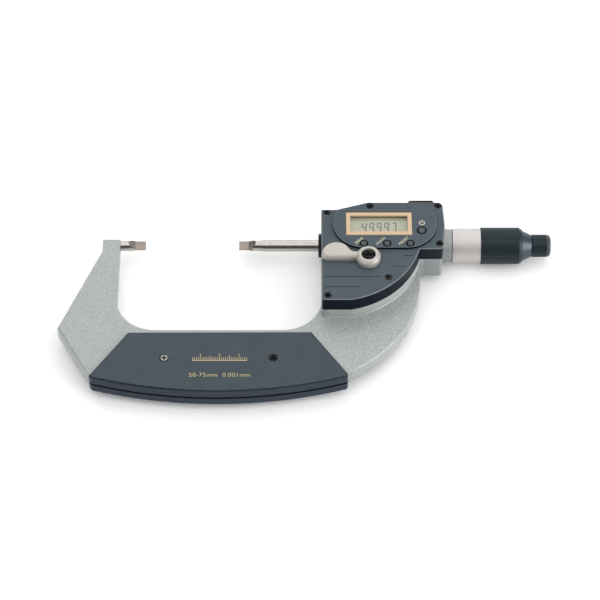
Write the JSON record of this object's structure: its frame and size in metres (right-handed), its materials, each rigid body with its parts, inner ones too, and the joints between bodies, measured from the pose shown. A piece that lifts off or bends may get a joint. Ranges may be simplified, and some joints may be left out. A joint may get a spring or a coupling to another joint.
{
  "type": "digital outside micrometer",
  "caption": "C-frame digital blade micrometer: screw-driven non-rotating spindle facing a fixed anvil, ratchet thimble, lock lever, display housing, grip plates.",
  "frame": {"origin": "middle of the anvil's measuring face, on the measuring axis", "axes": "+X along the measuring axis from the anvil to the ratchet, +Y from the frame's bow towards the axis, +Z out of the display"},
  "size_m": [0.2607, 0.1185, 0.0331],
  "materials": {
    "frame_paint": "light grey hammertone enamel",
    "housing": "dark blue-grey satin plastic",
    "plate": "dark blue-grey satin plastic",
    "tool_steel": "fine ground steel",
    "satin_chrome": "satin chrome",
    "grip": "dark blue-grey anodised",
    "lever_metal": "warm light grey satin",
    "bezel_gold": "peach-gold lacquer",
    "window": "clear",
    "lcd": "pale green-grey display",
    "board": "green lacquer",
    "chip": "black moulding",
    "seal_rubber": "soft black rubber",
    "key_plastic": "smooth plastic",
    "brass": "machined brass",
    "black_screw": "black oxide",
    "spring_steel": "drawn wire",
    "cell": "nickel plated"
  },
  "bodies": {
    "body": {"frame": "frame_paint", "anvil": "tool_steel", "front_plate": "plate", "back_plate": "plate", "plate_screws": "black_screw", "seal_ring": "seal_rubber", "front_bush": "brass", "rear_bush": "brass", "key_pin": "tool_steel", "sleeve": "satin_chrome", "spindle_nut": "tool_steel", "adjusting_nut": "tool_steel", "encoder_board": "board", "cover_shell": "housing", "cover_gasket": "seal_rubber", "cover_screws": "black_screw", "display_bezel": "bezel_gold", "display_window": "window", "lcd_module": "lcd", "zebra_strips": "seal_rubber", "circuit_board": "board", "processor": "chip", "button_seal": "seal_rubber", "data_port": "chip", "back_cover": "housing", "back_cover_screws": "black_screw", "coin_cell": "cell", "battery_contacts": "spring_steel"},
    "spindle_unit": {"spindle": "tool_steel", "tail_nut": "tool_steel", "scale_carrier": "brass", "encoder_slider": "board"},
    "thimble": {"thimble_screw": "tool_steel", "thimble_barrel": "satin_chrome", "thimble_grip": "grip", "thimble_cap": "grip", "ratchet_plate": "tool_steel", "ratchet_screw": "tool_steel"},
    "ratchet": {"ratchet_knob": "grip", "ratchet_end_cap": "grip", "ratchet_spring": "spring_steel"},
    "clamp": {"clamp_shaft": "tool_steel", "lock_lever": "lever_metal", "lever_screw": "black_screw"},
    "plunger": {"clamp_plunger": "brass"},
    "set_key": {"set_button": "key_plastic"},
    "unit_key": {"unit_button": "key_plastic"},
    "zero_key": {"zero_button": "key_plastic"},
    "power_key": {"power_button": "key_plastic"},
    "battery_door": {"battery_cap": "housing", "cap_seal": "seal_rubber"},
    "port_plug": {"port_cover": "seal_rubber"}
  },
  "joints": [
    {"name": "spindle_slide", "type": "slide", "parent": "body", "child": "spindle_unit", "axis": [1, 0, 0], "range_m": [0, 0.025]},
    {"name": "thimble_spin", "type": "hinge", "parent": "spindle_unit", "child": "thimble", "pos_m": [0.18, 0, 0], "axis": [1, 0, 0], "range_deg": [0, 18000]},
    {"name": "ratchet_spin", "type": "hinge", "parent": "thimble", "child": "ratchet", "pos_m": [0.21, 0, 0], "axis": [1, 0, 0], "continuous": true},
    {"name": "lock_lever_turn", "type": "hinge", "parent": "body", "child": "clamp", "pos_m": [0.1185, -0.0242, 0.02], "axis": [0, 0, 1], "range_deg": [0, 60]},
    {"name": "lock_plunger_slide", "type": "slide", "parent": "body", "child": "plunger", "axis": [0, 1, 0], "range_m": [0, 0.0003]},
    {"name": "set_press", "type": "slide", "parent": "body", "child": "set_key", "axis": [0, 0, -1], "range_m": [0, 0.0005], "stiffness_N_per_m": 300},
    {"name": "unit_press", "type": "slide", "parent": "body", "child": "unit_key", "axis": [0, 0, -1], "range_m": [0, 0.0005], "stiffness_N_per_m": 300},
    {"name": "zero_press", "type": "slide", "parent": "body", "child": "zero_key", "axis": [0, 0, -1], "range_m": [0, 0.0005], "stiffness_N_per_m": 300},
    {"name": "power_press", "type": "slide", "parent": "body", "child": "power_key", "axis": [0, 0, -1], "range_m": [0, 0.0005], "stiffness_N_per_m": 300},
    {"name": "battery_cap_turn", "type": "hinge", "parent": "body", "child": "battery_door", "pos_m": [0.113, -0.0325, -0.0095], "axis": [0, 0, 1], "range_deg": [-60, 0]},
    {"name": "port_cover_pull", "type": "slide", "parent": "body", "child": "port_plug", "axis": [0, 1, 0], "range_m": [0, 0.005]}
  ],
  "couplings": [
    {"joint": "thimble_spin", "follows": "spindle_slide", "rad_per_m": 12566},
    {"joint": "lock_plunger_slide", "follows": "lock_lever_turn", "m_per_rad": 0.000286}
  ]
}
